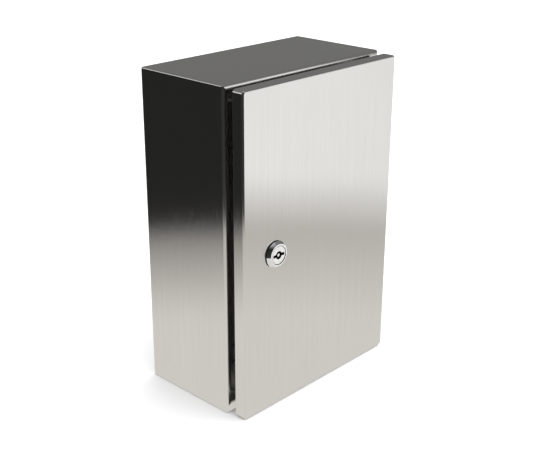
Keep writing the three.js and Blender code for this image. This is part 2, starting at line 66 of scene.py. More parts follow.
HALF_WIDTH = BODY_HIGH.x
HALF_HEIGHT = BODY_HIGH.z
WALL_Y = BODY_HIGH.y
LIP_EDGE_Y = BODY_LOW.y
DOOR_HALF_WIDTH = DOOR_HIGH.x
DOOR_HALF_HEIGHT = DOOR_HIGH.z
DOOR_REAR_Y = DOOR_HIGH.y
DOOR_FRONT_Y = DOOR_LOW.y

LOCK_X = (BEZEL_LOW.x + BEZEL_HIGH.x) / 2
LOCK_AXIS = (LOCK_X, 0, 0)

SHEET = 1.5 * MM
BEND = 2.5 * MM
DOOR_BEND = 1.8 * MM
LIP_INSET = 14 * MM
LIP_HEIGHT = 10.5 * MM
RETURN_Y = LIP_EDGE_Y + LIP_HEIGHT
RETURN_FOLD = 4.6 * MM

# Radii of the round holes in the sheets.
WALL_HOLE = 4.25 * MM
HINGE_HOLE = 2.25 * MM
LOCK_HOLE = 10.9 * MM


def middle(node):
    low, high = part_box(node)
    return (low + high) / 2


def low_high(node, axis):
    low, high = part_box(node)
    return low[axis], high[axis]


def upright(node):
    """A place for a piece turned round Y: only its x and z matter."""
    centre = middle(node)
    return (centre.x, 0, centre.z)


# ---------------------------------------------------------------- mesh helpers

def mesh_object(name, verts, faces):
    mesh = bpy.data.meshes.new(name)
    mesh.from_pydata([tuple(v) for v in verts], [], faces)
    obj = bpy.data.objects.new(name, mesh)
    bpy.context.scene.collection.objects.link(obj)
    clean(obj)
    return obj


def clean(obj):
    """Merges doubled vertices, drops empty faces and turns every face outwards."""
    bm = bmesh.new()
    bm.from_mesh(obj.data)
    bmesh.ops.remove_doubles(bm, verts=bm.verts, dist=SAME_POINT)
    bmesh.ops.dissolve_degenerate(bm, edges=bm.edges, dist=SAME_POINT)
    bmesh.ops.recalc_face_normals(bm, faces=bm.faces)
    bm.to_mesh(obj.data)
    bm.free()


def bake_modifiers(obj):
    depsgraph = bpy.context.evaluated_depsgraph_get()
    mesh = bpy.data.meshes.new_from_object(obj.evaluated_get(depsgraph))
    obj.modifiers.clear()
    old = obj.data
    obj.data = mesh
    bpy.data.meshes.remove(old)


def combine(obj, tools, operation="DIFFERENCE"):
    """Cuts the tools out of obj, or joins them to it, and removes them."""
    for tool in tools:
        modifier = obj.modifiers.new("combine", "BOOLEAN")
        modifier.operation = operation
        modifier.solver = "EXACT"
        modifier.object = tool
        bpy.context.view_layer.update()
        bake_modifiers(obj)
        bpy.data.objects.remove(tool)


def bevelled(obj, width, segments=2, angle=40):
    modifier = obj.modifiers.new("bevel", "BEVEL")
    modifier.width = width
    modifier.segments = segments
    modifier.limit_method = "ANGLE"
    modifier.angle_limit = math.radians(angle)
    modifier.use_clamp_overlap = True
    bpy.context.view_layer.update()
    bake_modifiers(obj)
    return obj


def rounded_rect(half_w, half_h, radius, steps=6):
    """Points (a, b) round a rectangle, the same number whatever the radius."""
    points = []
    for corner, (sa, sb) in enumerate([(1, -1), (1, 1), (-1, 1), (-1, -1)]):
        ca, cb = sa * (half_w - radius), sb * (half_h - radius)
        for i in range(steps + 1):
            t = math.radians(-90 + 90 * corner + 90 * i / steps)
            points.append((ca + radius * math.cos(t), cb + radius * math.sin(t)))
    return points


def frame_sweep(name, half_w, half_h, profile, closed=False, steps=6):
    """A section carried round a rectangle. Each profile point is (inset, y, corner radius)."""
    verts, faces = [], []
    for inset, y, radius in profile:
        ring = rounded_rect(half_w - inset, half_h - inset, radius, steps)
        verts += [(a, y, b) for a, b in ring]
    n = 4 * (steps + 1)
    last = len(profile)
    for k in range(last if closed else last - 1):
        for i in range(n):
            j = (i + 1) % n
            m = (k + 1) % last
            faces.append((k * n + i, k * n + j, m * n + j, m * n + i))
    if not closed:
        faces.append(tuple(range(n)))
        faces.append(tuple((last - 1) * n + i for i in reversed(range(n))))
    return mesh_object(name, verts, faces)


def arc(centre, radius, start, end, steps):
    """Points of an arc, angles in degrees."""
    points = []
    for i in range(steps + 1):
        t = math.radians(start + (end - start) * i / steps)
        points.append((centre[0] + radius * math.cos(t), centre[1] + radius * math.sin(t)))
    return points


def spin(name, profile_at, centre, axis, segments=48):
    """A body round an axis. profile_at(angle) gives its closed (radius, distance) outline."""
    axis = Vector(axis).normalized()
    side = Vector(ALONG_Z).cross(axis) if abs(axis.z) < 0.9 else Vector((1, 0, 0))
    side.normalize()
    other = axis.cross(side)
    verts, faces = [], []
    count = len(profile_at(0.0))
    for s in range(segments):
        angle = 2 * math.pi * s / segments
        out = side * math.cos(angle) + other * math.sin(angle)
        for r, a in profile_at(angle):
            verts.append(Vector(centre) + out * r + axis * a)
    for s in range(segments):
        t = (s + 1) % segments
        for i in range(count):
            j = (i + 1) % count
            faces.append((s * count + i, t * count + i, t * count + j, s * count + j))
    return mesh_object(name, verts, faces)


def turned(name, profile, centre, axis, segments=48):
    return spin(name, lambda _angle: profile, centre, axis, segments)


def rod(name, centre, axis, radius, start, end, segments=32):
    return turned(name, [(0, start), (radius, start), (radius, end), (0, end)],
                  centre, axis, segments)


def block(name, low, high):
    (x0, y0, z0), (x1, y1, z1) = low, high
    verts = [(x, y, z) for x in (x0, x1) for y in (y0, y1) for z in (z0, z1)]
    faces = [(0, 1, 3, 2), (4, 6, 7, 5), (0, 4, 5, 1), (2, 3, 7, 6), (0, 2, 6, 4), (1, 5, 7, 3)]
    return mesh_object(name, verts, faces)


def prism(name, outline, axis, start, end):
    """An outline of points made thick along axis 'Y' (points are x, z) or 'Z' (points are x, y)."""
    n = len(outline)
    if axis == "Y":
        verts = [(a, start, b) for a, b in outline] + [(a, end, b) for a, b in outline]
    else:
        verts = [(a, b, start) for a, b in outline] + [(a, b, end) for a, b in outline]
    faces = [(i, (i + 1) % n, n + (i + 1) % n, n + i) for i in range(n)]
    faces += [tuple(reversed(range(n))), tuple(range(n, 2 * n))]
    return mesh_object(name, verts, faces)


def shade(obj, sharp=32):
    obj.data.shade_smooth()
    obj.data.set_sharp_from_angle(angle=math.radians(sharp))
    modifier = obj.modifiers.new("normals", "WEIGHTED_NORMAL")
    modifier.keep_sharp = True
    modifier.weight = 80


def folded_strip(point):
    """True on the front return's top and bottom strips, out to their mitred corners."""
    near_front = WALL_Y - 90 * MM
    return point.y < near_front and abs(point.z) - HALF_HEIGHT > abs(point.x) - HALF_WIDTH


def grain_map(obj, top_grain):
    """A UV map in metres, U across the brushing and V along it. On faces that look up or down
    the brushing runs along X or Y, as top_grain says; everywhere else it is upright, except on
    strips of a return, which keep the direction of the wall that they are folded from."""
    uv = obj.data.uv_layers.new(name="grain")
    for face in obj.data.polygons:
        n = face.normal
        for loop in face.loop_indices:
            co = obj.data.vertices[obj.data.loops[loop].vertex_index].co
            if abs(n.z) > max(abs(n.x), abs(n.y)):
                uv.data[loop].uv = (co.y, co.x) if top_grain == "X" else (co.x, co.y)
            elif top_grain == "X" and abs(n.y) > abs(n.x) and folded_strip(face.center):
                uv.data[loop].uv = (co.z, co.x)
            elif abs(n.x) > abs(n.y):
                uv.data[loop].uv = (co.y, co.z)
            else:
                uv.data[loop].uv = (co.x, co.z)


def piece(obj, body, slot, material, *replaced, sharp=32):
    """Finishes a piece: material, smooth shading, the body it rides on and what it stands for."""
    obj.data.materials.clear()
    obj.data.materials.append(material)
    shade(obj, sharp)
    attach(obj, body)
    if replaced:
        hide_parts(*replaced)


def paint(obj, material, test):
    """Gives the faces that pass test(centre, normal) a material of their own."""
    obj.data.materials.append(material)
    index = len(obj.data.materials) - 1
    for face in obj.data.polygons:
        if test(face.center, face.normal):
            face.material_index = index


def inside(half_w, half_h, front, back):
    """A test for paint(): faces deeper than the sheet's outer skin on every side."""
    skin = 1.2 * MM
    return lambda c, _normal: (abs(c.x) < half_w - skin and abs(c.z) < half_h - skin
                               and front + skin < c.y < back - skin)


# ---------------------------------------------------------------- materials

def new_material(name):
    material = bpy.data.materials.new(name)
    material.use_nodes = True
    nodes = material.node_tree.nodes
    nodes.clear()
    output = nodes.new("ShaderNodeOutputMaterial")
    shader = nodes.new("ShaderNodeBsdfPrincipled")
    material.node_tree.links.new(shader.outputs[0], output.inputs[0])
    return material, nodes, material.node_tree.links, shader


def add_noise(nodes, links, vector, scale, detail=3, roughness=0.5):
    noise = nodes.new("ShaderNodeTexNoise")
    noise.inputs["Scale"].default_value = scale
    noise.inputs["Detail"].default_value = detail
    noise.inputs["Roughness"].default_value = roughness
    links.new(vector, noise.inputs["Vector"])
    return noise.outputs["Fac"]


def add_mapping(nodes, links, vector, scale):
    mapping = nodes.new("ShaderNodeMapping")
    mapping.inputs["Scale"].default_value = scale
    links.new(vector, mapping.inputs["Vector"])
    return mapping.outputs[0]


def add_range(nodes, links, value, low, high, from_low=0.3, from_high=0.7):
    node = nodes.new("ShaderNodeMapRange")
    node.inputs["From Min"].default_value = from_low
    node.inputs["From Max"].default_value = from_high
    node.inputs["To Min"].default_value = low
    node.inputs["To Max"].default_value = high
    links.new(value, node.inputs["Value"])
    return node.outputs[0]


def add_math(nodes, links, operation, a, b):
    node = nodes.new("ShaderNodeMath")
    node.operation = operation
    for socket, value in zip(node.inputs, (a, b)):
        if isinstance(value, (int, float)):
            socket.default_value = value
        else:
            links.new(value, socket)
    return node.outputs[0]


def add_blend(nodes, links, a, b, share):
    """a and b added in the proportion share : 1 - share."""
    return add_math(nodes, links, "ADD", add_math(nodes, links, "MULTIPLY", a, share),
                    add_math(nodes, links, "MULTIPLY", b, 1 - share))


def add_tint(nodes, links, factor, dark, light):
    node = nodes.new("ShaderNodeMix")
    node.data_type = "RGBA"
    node.inputs["A"].default_value = (*dark, 1)
    node.inputs["B"].default_value = (*light, 1)
    links.new(factor, node.inputs["Factor"])
    return node.outputs["Result"]


def add_bump(nodes, links, shader, height, strength, distance):
    bump = nodes.new("ShaderNodeBump")
    bump.inputs["Strength"].default_value = strength
    bump.inputs["Distance"].default_value = distance
    links.new(height, bump.inputs["Height"])
    links.new(bump.outputs[0], shader.inputs["Normal"])


def brushed_stainless():
    """Sheet brushed in one direction: fine scratches along V, uneven in depth, over faint
    handling marks. Highlights spread across the scratches."""
    material, nodes, links, shader = new_material("brushed_stainless")
    uv = nodes.new("ShaderNodeUVMap")
    uv.uv_map = "grain"

    def streaks(per_metre, detail):
        """Noise with so many cells to the metre across and along the brushing."""
        stretched = add_mapping(nodes, links, uv.outputs[0], (*per_metre, 1))
        return add_noise(nodes, links, stretched, 1, detail)

    dark, light = (0.76, 0.747, 0.725), (0.81, 0.798, 0.776)
    fine = streaks((5200, 34), 2)
    broad = streaks((900, 7), 3)
    marks = streaks((14, 9), 4)
    lines = add_blend(nodes, links, fine, broad, 0.5)
    tone = add_blend(nodes, links, lines, marks, 0.75)
    spread = add_range(nodes, links, tone, 0, 1, 0.36, 0.64)
    links.new(add_tint(nodes, links, spread, dark, light), shader.inputs["Base Color"])
    links.new(add_range(nodes, links, tone, 0.14, 0.11), shader.inputs["Roughness"])
    shader.inputs["Metallic"].default_value = 1.0
    shader.inputs["Anisotropic"].default_value = 1.0
    tangent = nodes.new("ShaderNodeTangent")
    tangent.direction_type = "UV_MAP"
    tangent.uv_map = "grain"
    links.new(tangent.outputs[0], shader.inputs["Tangent"])
    add_bump(nodes, links, shader, lines, 0.6, 0.000022)
    return material


def simple_metal(name, dark, light, rough_low, rough_high, scale=900, bump=0.00001,
                 metallic=1.0):
    """Plain metal with a fine speckle over broad, faint patches."""
    material, nodes, links, shader = new_material(name)
    patch_scale = 60
    coords = nodes.new("ShaderNodeTexCoord").outputs["Object"]
    speckle = add_noise(nodes, links, coords, scale, 4)
    patches = add_noise(nodes, links, coords, patch_scale, 3)
    tone = add_blend(nodes, links, speckle, patches, 0.5)
    links.new(add_tint(nodes, links, add_range(nodes, links, tone, 0, 1), dark, light),
              shader.inputs["Base Color"])
    links.new(add_range(nodes, links, tone, rough_low, rough_high), shader.inputs["Roughness"])
    shader.inputs["Metallic"].default_value = metallic
    add_bump(nodes, links, shader, speckle, 0.4, bump)
    return material


def dull(name, dark, light, rough_low, rough_high, scale, bump):
    """Plastic, foam or rubber: a grainy surface with faint patches."""
    material, nodes, links, shader = new_material(name)
    patch_scale = 70
    coords = nodes.new("ShaderNodeTexCoord").outputs["Object"]
    grain = add_noise(nodes, links, coords, scale, 3, 0.6)
    patches = add_noise(nodes, links, coords, patch_scale, 3)
    links.new(add_tint(nodes, links, add_range(nodes, links, patches, 0, 1), dark, light),
              shader.inputs["Base Color"])
    links.new(add_range(nodes, links, grain, rough_low, rough_high), shader.inputs["Roughness"])
    add_bump(nodes, links, shader, grain, 0.5, bump)
    return material


STAINLESS = brushed_stainless()
BARE_STEEL = simple_metal("turned_stainless", (0.58, 0.58, 0.57), (0.70, 0.70, 0.69), 0.24, 0.4)
HINGE_STEEL = simple_metal("cast_stainless", (0.50, 0.50, 0.49), (0.64, 0.64, 0.62), 0.34, 0.5,
                           1600, 0.00003)
CHROME = simple_metal("chrome", (0.84, 0.85, 0.86), (0.90, 0.91, 0.92), 0.05, 0.10, 400, 2e-6)
ZINC = simple_metal("zinc_plate", (0.60, 0.62, 0.65), (0.76, 0.77, 0.78), 0.26, 0.42, 500)
SATIN = simple_metal("satin_chrome", (0.90, 0.90, 0.90), (0.97, 0.97, 0.97), 0.40, 0.50, 1500,
                     0.00002, 0.8)
# Painted shade: a near-black metal that stands in for the shade inside the keyhole's recess.
KEYHOLE_PAINTED_SHADE = simple_metal("keyhole_painted_shade", (0.03, 0.03, 0.03), (0.10, 0.10, 0.10), 0.35, 0.6)
ZINC_SHEET = simple_metal("zinc_plated_sheet", (0.60, 0.62, 0.65), (0.74, 0.75, 0.77), 0.26, 0.38,
                          220)
MILL_STEEL = simple_metal("mill_stainless", (0.58, 0.58, 0.57), (0.66, 0.66, 0.65), 0.28, 0.38, 350,
                          4e-6)
BLACK_PLASTIC = dull("black_polyamide", (0.018, 0.018, 0.019), (0.034, 0.034, 0.036),
                     0.42, 0.6, 2600, 0.00004)
FOAM = dull("gasket_foam", (0.035, 0.035, 0.037), (0.065, 0.065, 0.068), 0.75, 0.95, 1500, 0.0002)
RUBBER = dull("seal_rubber", (0.014, 0.014, 0.014), (0.026, 0.026, 0.026), 0.5, 0.7, 2200, 0.00003)


# ---------------------------------------------------------------- body

def fold(inset, y, radius, start, end, corner, steps=6):
    """A fold's arc as frame_sweep points: angle 0 points inwards, 90 towards the wall."""
    return [(a, b, corner(a)) for a, b in arc((inset, y), radius, start, end, steps)]


def ellipse(across, deep, face, steps=10):
    """The fold onto the front return: wider across the return than it is deep."""
    points = []
    for i in range(steps + 1):
        t = math.radians(180 + 90 * i / steps)
        points.append((across + across * math.cos(t), face + deep + deep * math.sin(t)))
    return points


def gland_outline(half_x, half_y, corner):
    """A rounded rectangle round the middle of the cable entry."""
    y = middle("gland_plate").y
    return [(a, b + y) for a, b in rounded_rect(half_x, half_y, corner, 8)]


def body_shell():
    """The shell in one sweep, from the middle of the back's outer face round the sheet to the
    middle of its inner face."""
    edge = 1.6 * MM
    sharpest = 0.25 * MM
    inner = BEND - SHEET
    return_corner_out, return_corner_in = 2.6 * MM, 2 * MM
    through = 5 * MM

    def outer_corner(inset):
        return max(edge - inset, sharpest)

    def inner_corner(_inset):
        return 0.4 * MM

    def lip_corner(_inset):
        return 4 * MM

    points = fold(BEND, WALL_Y - BEND, BEND, 90, 180, outer_corner)
    points += [(a, b, outer_corner(a)) for a, b in ellipse(RETURN_FOLD, BEND, RETURN_Y)]
    # Inside fold from the return up onto the lip, the lip's rounded edge, and back again.
    root = 1.2 * MM
    half = SHEET / 2
    points += [(LIP_INSET - root - 0.2 * MM, RETURN_Y, return_corner_out)]
    points += fold(LIP_INSET - root, RETURN_Y - root, root, 90, 0, lip_corner)
    points += fold(LIP_INSET + half, LIP_EDGE_Y + half, half, 180, 360, lip_corner)
    points += fold(LIP_INSET + SHEET - BEND, RETURN_Y + SHEET - BEND, BEND, 0, 90, lip_corner)
    points += [(LIP_INSET - BEND, RETURN_Y + SHEET, return_corner_in)]
    points += fold(SHEET + inner, RETURN_Y + SHEET + inner, inner, 270, 180, inner_corner, 3)
    points += fold(SHEET + inner, WALL_Y - SHEET - inner, inner, 180, 90, inner_corner, 3)
    shell = frame_sweep("body_sheet", HALF_WIDTH, HALF_HEIGHT, points)
    tools = []
    # Holes for the wall fixings and the hinges (both hands), and the cable entry's cut-out.
    for corner in CORNERS:
        hole = middle(f"wall_hole_plug_{corner}")
        tools.append(rod("tool", (hole.x, WALL_Y, hole.z), ALONG_Y, WALL_HOLE,
                         -through, through, 40))
    for i in HINGE_HOLES:
        hole = middle(f"hinge_hole_plug_{i}")
        for x in (hole.x, -hole.x):
            tools.append(rod("tool", (x, RETURN_Y, hole.z), ALONG_Y, HINGE_HOLE,
                             -3 * MM, 3 * MM, 32))
    tools.append(prism("tool", gland_outline(60 * MM, 25 * MM, 5 * MM), "Z",
                       -HALF_HEIGHT - 2 * MM, -HALF_HEIGHT + 3 * MM))
    combine(shell, tools)
    grain_map(shell, "X")
    piece(shell, "cabinet", "stainless", STAINLESS, "body_shell")
    paint(shell, MILL_STEEL, inside(HALF_WIDTH, HALF_HEIGHT, RETURN_Y, WALL_Y))


body_shell()


# ---------------------------------------------------------------- door

def door_panel():
    inner = DOOR_BEND - SHEET
    half = SHEET / 2
    corner = 3 * MM

    def outer_corner(inset):
        return max(corner - inset, 0.4 * MM)

    def inner_corner(_inset):
        return 1.0 * MM

    points = fold(DOOR_BEND, DOOR_FRONT_Y + DOOR_BEND, DOOR_BEND, 270, 180, outer_corner, 8)
    points += [(a, b, corner - a) for a, b in
               arc((half, DOOR_REAR_Y - half), half, 180, 0, 6)]
    points += fold(SHEET + inner, DOOR_FRONT_Y + SHEET + inner, inner, 180, 270, inner_corner, 3)
    door = frame_sweep("door_sheet", DOOR_HALF_WIDTH, DOOR_HALF_HEIGHT, points, steps=8)
    combine(door, [rod("tool", (LOCK_X, DOOR_FRONT_Y, 0), ALONG_Y, LOCK_HOLE,
                       -3 * MM, 4 * MM, 64)])
    grain_map(door, "Y")
    piece(door, "door", "stainless", STAINLESS, "door_panel")
    paint(door, MILL_STEEL, inside(DOOR_HALF_WIDTH, DOOR_HALF_HEIGHT, DOOR_FRONT_Y,
                                   DOOR_REAR_Y + 2 * MM))


door_panel()


# ---------------------------------------------------------------- plugs and gasket

def plug(node, shank_radius, head_radius, tip, head_start, head_end):
    """A blanking plug pushed in from the inside: a shank with a rounded end and a domed head
    with a shallow dimple."""
    way = 1 if head_end > tip else -1
    soft = 0.35 * MM
    dome = 0.9 * MM
    rim = head_end - way * dome
    rise = head_end - rim
    profile = [(0, tip), (shank_radius - soft, tip), (shank_radius, tip + soft * way),
               (shank_radius, head_start), (head_radius - soft, head_start),
               (head_radius, head_start + soft * way), (head_radius, rim),
               (head_radius * 0.93, rim + rise * 0.55), (head_radius * 0.72, head_end),
               (head_radius * 0.34, head_end), (head_radius * 0.26, head_end - rise * 0.3),
               (0, head_end - rise * 0.35)]
    obj = turned(node + "_moulded", profile, upright(node), ALONG_Y, 40)
    piece(obj, "cabinet", "black_plastic", BLACK_PLASTIC, node, sharp=40)


def plugs():
    for corner in CORNERS:
        node = f"wall_hole_plug_{corner}"
        head_end, tip = low_high(node, 1)
        plug(node, 4 * MM, 7 * MM, tip, tip - SHEET, head_end)
    head_thickness = 1.5 * MM
    for i in HINGE_HOLES:
        node = f"hinge_hole_plug_{i}"
        tip, head_end = low_high(node, 1)
        plug(node, 1.95 * MM, 4 * MM, tip, head_end - head_thickness, head_end)


plugs()


def door_gasket():
    """A foamed bead, with the groove that the lip has pressed into its crown."""
    base, crown = GASKET_LOW.y, GASKET_HIGH.y
    width, height, corner = 10, 7.9, 9
    # Half of the section in millimetres: in from the bead's outer edge, and up from its base.
    section = [(0.3, 0), (0, 0.9), (0.1, 2.6), (0.45, 4.4), (1.1, 5.9), (2.0, 6.9), (3.0, 7.55),
               (3.9, 7.9), (4.4, 7.75), (4.7, 7.45), (5.0, 7.35)]
    section += [(width - a, h) for a, h in reversed(section[:-1])]
    rise = (crown - base) / (height * MM)
    profile = [(a * MM, base + h * MM * rise, (corner - a / 2) * MM) for a, h in section]
    bead = frame_sweep("door_gasket_bead", GASKET_HIGH.x, GASKET_HIGH.z, profile, True, 10)
    piece(bead, "door", "gasket_foam", FOAM, "door_gasket", sharp=50)


door_gasket()


# ---------------------------------------------------------------- fasteners

THREAD_DEPTH = 0.61  # in pitches


def thread_radius(radius, pitch, turn):
    """A rolled thread's radius at a fraction of a turn: flat crest, sloped flanks, flat root."""
    crest, flank = 0.18, 0.62
    t = abs((turn % 1.0) * 2 - 1)
    return radius - THREAD_DEPTH * pitch * min(max((t - crest) / flank, 0), 1)


def threaded(name, radius, pitch, centre, axis, tip, end, shoulder=()):
    """A stud with a real helical thread from its chamfered tip to end, then plain outline
    points (radius, distance) given as shoulder."""
    length = end - tip
    steps_per_turn = 6
    steps = int(abs(length) / pitch * steps_per_turn)
    chamfer = 0.7 * pitch
    shoulder = list(shoulder) or [(radius - THREAD_DEPTH * pitch, end)]

    def profile_at(angle):
        points = [(0, tip)]
        for k in range(steps + 1):
            a = tip + length * k / steps
            r = thread_radius(radius, pitch, abs(a - tip) / pitch - angle / (2 * math.pi))
            r = min(r, radius - chamfer + abs(a - tip))
            points.append((r, a))
        return points + shoulder + [(0, shoulder[-1][1])]

    return spin(name, profile_at, centre, axis, 28)


def nut(name, across_flats, bore, centre, axis, start, end):
    """A hexagon nut, its corners chamfered at 30 degrees on both faces."""
    def profile_at(angle):
        turn = (angle + math.pi / 6) % (math.pi / 3) - math.pi / 6
        corner = across_flats / 2 / math.cos(turn)
        face = min(corner, across_flats / 2 * 0.975)
        drop = (corner - face) * 0.6 + 0.02 * MM
        lead = 0.35 * MM
        return [(bore + lead, start), (face, start), (corner, start + drop), (corner, end - drop),
                (face, end), (bore + lead, end), (bore, end - lead), (bore, start + lead)]
    return spin(name, profile_at, centre, axis, 72)


def washer(name, bore, radius, centre, axis, start, end):
    soft = 0.25 * MM
    return turned(name, [(bore, start), (radius - soft, start), (radius, start + soft),
                         (radius, end - soft), (radius - soft, end), (bore + soft, end),
                         (bore, end - soft)], centre, axis, 48)


def plate_fixings(corner):
    """A welded stud with a collar behind the mounting plate, its washer and its nut."""
    node = f"plate_stud_{corner}"
    place = upright(node)
    tip, root = low_high(node, 1)
    collar_face = low_high("mounting_plate", 1)[1] + 0.3 * MM
    radius, pitch, neck, collar = 3.9 * MM, 1.25 * MM, 3.2 * MM, 6.5 * MM
    clearance = 4.2 * MM
    soft = 0.4 * MM
    stud = threaded(node + "_threaded", radius, pitch, place, ALONG_Y, tip, collar_face,
                    [(neck, collar_face), (collar - soft, collar_face),
                     (collar, collar_face + soft), (collar, root)])
    piece(stud, "cabinet", "bare_steel", BARE_STEEL, node, sharp=45)
    node = f"plate_washer_{corner}"
    ring = washer(node + "_pressed", clearance, 8 * MM, place, ALONG_Y, *low_high(node, 1))
    piece(ring, "cabinet", "zinc_plate", ZINC, node)
    node = f"plate_nut_{corner}"
    hexagon = nut(node + "_hex", 13 * MM, clearance, place, ALONG_Y, *low_high(node, 1))
    piece(hexagon, "cabinet", "zinc_plate", ZINC, node)


def gland_fixings(corner):
    """A stud that stands on the base sheet, and the nut that holds the gland plate down."""
    node = f"gland_stud_{corner}"
    centre = middle(node)
    place = (centre.x, centre.y, 0)
    root, tip = low_high(node, 2)
    radius, pitch = 2.4 * MM, 0.8 * MM
    thread_end = tip - 8 * MM
    stud = threaded(node + "_threaded", radius, pitch, place, (0, 0, -1), -tip, -thread_end,
                    [(radius, -thread_end), (radius, -root)])
    piece(stud, "cabinet", "bare_steel", BARE_STEEL, node, sharp=45)
    node = f"gland_nut_{corner}"
    hexagon = nut(node + "_hex", 8 * MM, 2.7 * MM, place, ALONG_Z, *low_high(node, 2))
    piece(hexagon, "cabinet", "zinc_plate", ZINC, node)


def earth_fixings(sheet, owner):
    """A stud welded to the body or the door, pointing into the cabinet, and its nut."""
    node = f"{sheet}_earth_stud"
    place = upright(node)
    low_y, high_y = low_high(node, 1)
    way = -1 if owner == "door" else 1
    tip, root = (low_y, high_y) if way > 0 else (high_y, low_y)
    stud = threaded(node + "_threaded", 2.9 * MM, 1.0 * MM, place, (0, way, 0), way * tip,
                    way * root)
    piece(stud, owner, "bare_steel", BARE_STEEL, node, sharp=45)
    node = f"{sheet}_earth_nut"
    hexagon = nut(node + "_hex", 10 * MM, 3.2 * MM, place, ALONG_Y, *low_high(node, 1))
    piece(hexagon, owner, "zinc_plate", ZINC, node)


for corner in CORNERS:
    plate_fixings(corner)
for corner in GLAND_STUDS:
    gland_fixings(corner)
earth_fixings("body", "cabinet")
earth_fixings("door", "door")


# ---------------------------------------------------------------- plates

def mounting_plate():
    """A flat plate whose four corners are pressed back onto the studs."""
    low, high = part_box("mounting_plate")
    front, back = low.y, high.y
    sheet = 2 * MM
    lug = 26 * MM
    slope = 1.2 * MM
    overlap = 0.1 * MM
    outline = rounded_rect(high.x, high.z, 4 * MM, 8)
    plate = prism("mounting_plate_pressed", outline, "Y", front, front + sheet)
    lugs = prism("lugs", outline, "Y", front + sheet - 2 * overlap, back)
    cross = [block("cross", (-high.x - MM, front, -high.z + lug + slope),
                   (high.x + MM, back + MM, high.z - lug - slope)),
             block("cross", (-high.x + lug + slope, front, -high.z - MM),
                   (high.x - lug - slope, back + MM, high.z + MM))]
    combine(lugs, cross)
    pressed = []
    for sx in (-1, 1):
        for sz in (-1, 1):
            x0, x1 = sorted((sx * (high.x - lug), sx * (high.x + MM)))
            z0, z1 = sorted((sz * (high.z - lug), sz * (high.z + MM)))
            pressed.append(block("pressed", (x0, front - MM, z0),
                                 (x1, front + sheet - overlap, z1)))
    combine(plate, pressed)
    combine(plate, [lugs], "UNION")
    tools = []
    for corner in CORNERS:
        tools.append(rod("tool", upright(f"plate_stud_{corner}"), ALONG_Y, 4.5 * MM,
                         front - MM, back + MM, 40))
    combine(plate, tools)
    bevelled(plate, 0.4 * MM, 2, 50)
    piece(plate, "cabinet", "zinc_plate", ZINC_SHEET, "mounting_plate", sharp=50)


def gland_stud_holes(radius, low_z, high_z, segments):
    tools = []
    for corner in GLAND_STUDS:
        centre = middle(f"gland_stud_{corner}")
        tools.append(rod("tool", (centre.x, centre.y, 0), ALONG_Z, radius,
                         low_z - MM, high_z + MM, segments))
    return tools


def gland_plate():
    """The cable entry's blanking plate, with its tray pressed down into the cut-out."""
    low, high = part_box("gland_plate")
    sheet = 2 * MM
    flange_low = high.z - sheet
    tray_x, tray_y, corner = 58 * MM, 23 * MM, 4 * MM
    plate = prism("gland_plate_pressed", gland_outline(high.x, (high.y - low.y) / 2, corner), "Z",
                  flange_low, high.z)
    tray = gland_outline(tray_x, tray_y, corner)
    hollow = gland_outline(tray_x - sheet, tray_y - sheet, corner - MM)
    combine(plate, [prism("tray", tray, "Z", low.z, flange_low + 0.5 * MM)], "UNION")
    combine(plate, [prism("hollow", hollow, "Z", low.z + sheet, high.z + MM)]
            + gland_stud_holes(2.8 * MM, low.z, high.z, 32))
    bevelled(plate, 0.35 * MM, 2, 50)
    grain_map(plate, "X")
    piece(plate, "cabinet", "bare_steel", STAINLESS, "gland_plate", sharp=50)


def gland_gasket():
    low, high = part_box("gland_gasket")
    outer = gland_outline(high.x, (high.y - low.y) / 2, 4 * MM)
    inner = gland_outline(62 * MM, 27 * MM, 5 * MM)
    ring = prism("gland_gasket_cut", outer, "Z", low.z, high.z)
    combine(ring, [prism("tool", inner, "Z", low.z - MM, high.z + MM)]
            + gland_stud_holes(3 * MM, low.z, high.z, 24))
    bevelled(ring, 0.25 * MM, 2, 50)
    piece(ring, "cabinet", "gasket_foam", FOAM, "gland_gasket", sharp=50)


mounting_plate()
gland_plate()
gland_gasket()


# ---------------------------------------------------------------- hinges

PIN = (96.5 * MM, -107.5 * MM)
KNUCKLE = 2.7 * MM
PIN_BORE = 1.8 * MM


def knuckle_outline(start, end):
    """Arc points round the pin, from angles in degrees."""
    return arc(PIN, KNUCKLE, start, end, 20)


def hex_tool(centre, across_flats, start, end):
    points = [(centre[0] + across_flats / math.sqrt(3) * math.cos(math.radians(60 * i)),
               centre[2] + across_flats / math.sqrt(3) * math.sin(math.radians(60 * i)))
              for i in range(6)]
    return prism("tool", points, "Y", start, end)


def pin_bore(z):
    reach = 30 * MM
    return rod("tool", (PIN[0], PIN[1], 0), ALONG_Z, PIN_BORE, z - reach, z + reach, 32)


def screw_holes(place, radius, front, back):
    tools = []
    for end in ("top", "bottom"):
        tools.append(rod("tool", upright(f"hinge_screw_{place}_{end}"), ALONG_Y, radius,
                         front - MM, back + MM, 32))
    return tools


def hinge_fixed_half(place, z):
    """The half screwed to the front return, with a knuckle round the pin at each end."""
    node = f"hinge_fixed_half_{place}"
    low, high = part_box(node)
    right, back = 97.5 * MM, high.y
    front = back - 1.5 * MM
    half = bevelled(block(node + "_pressed", (low.x, front, low.z), (right, back, high.z)),
                    0.4 * MM, 3)
    turn_in = math.degrees(math.acos((right - PIN[0]) / KNUCKLE))
    foot = front + 0.7 * MM
    outline = [(PIN[0] - KNUCKLE, foot)] + knuckle_outline(180, 360 + turn_in) + [(right, foot)]
    near, far = 11.8 * MM, 22 * MM
    for start, end in ((near, far), (-far, -near)):
        knuckle = bevelled(prism("knuckle", outline, "Z", z + start, z + end), 0.25 * MM, 2, 50)
        combine(half, [knuckle], "UNION")
    combine(half, [pin_bore(z)] + screw_holes(place, 2.25 * MM, front, back))
    piece(half, "cabinet", "hinge_steel", HINGE_STEEL, node, sharp=40)


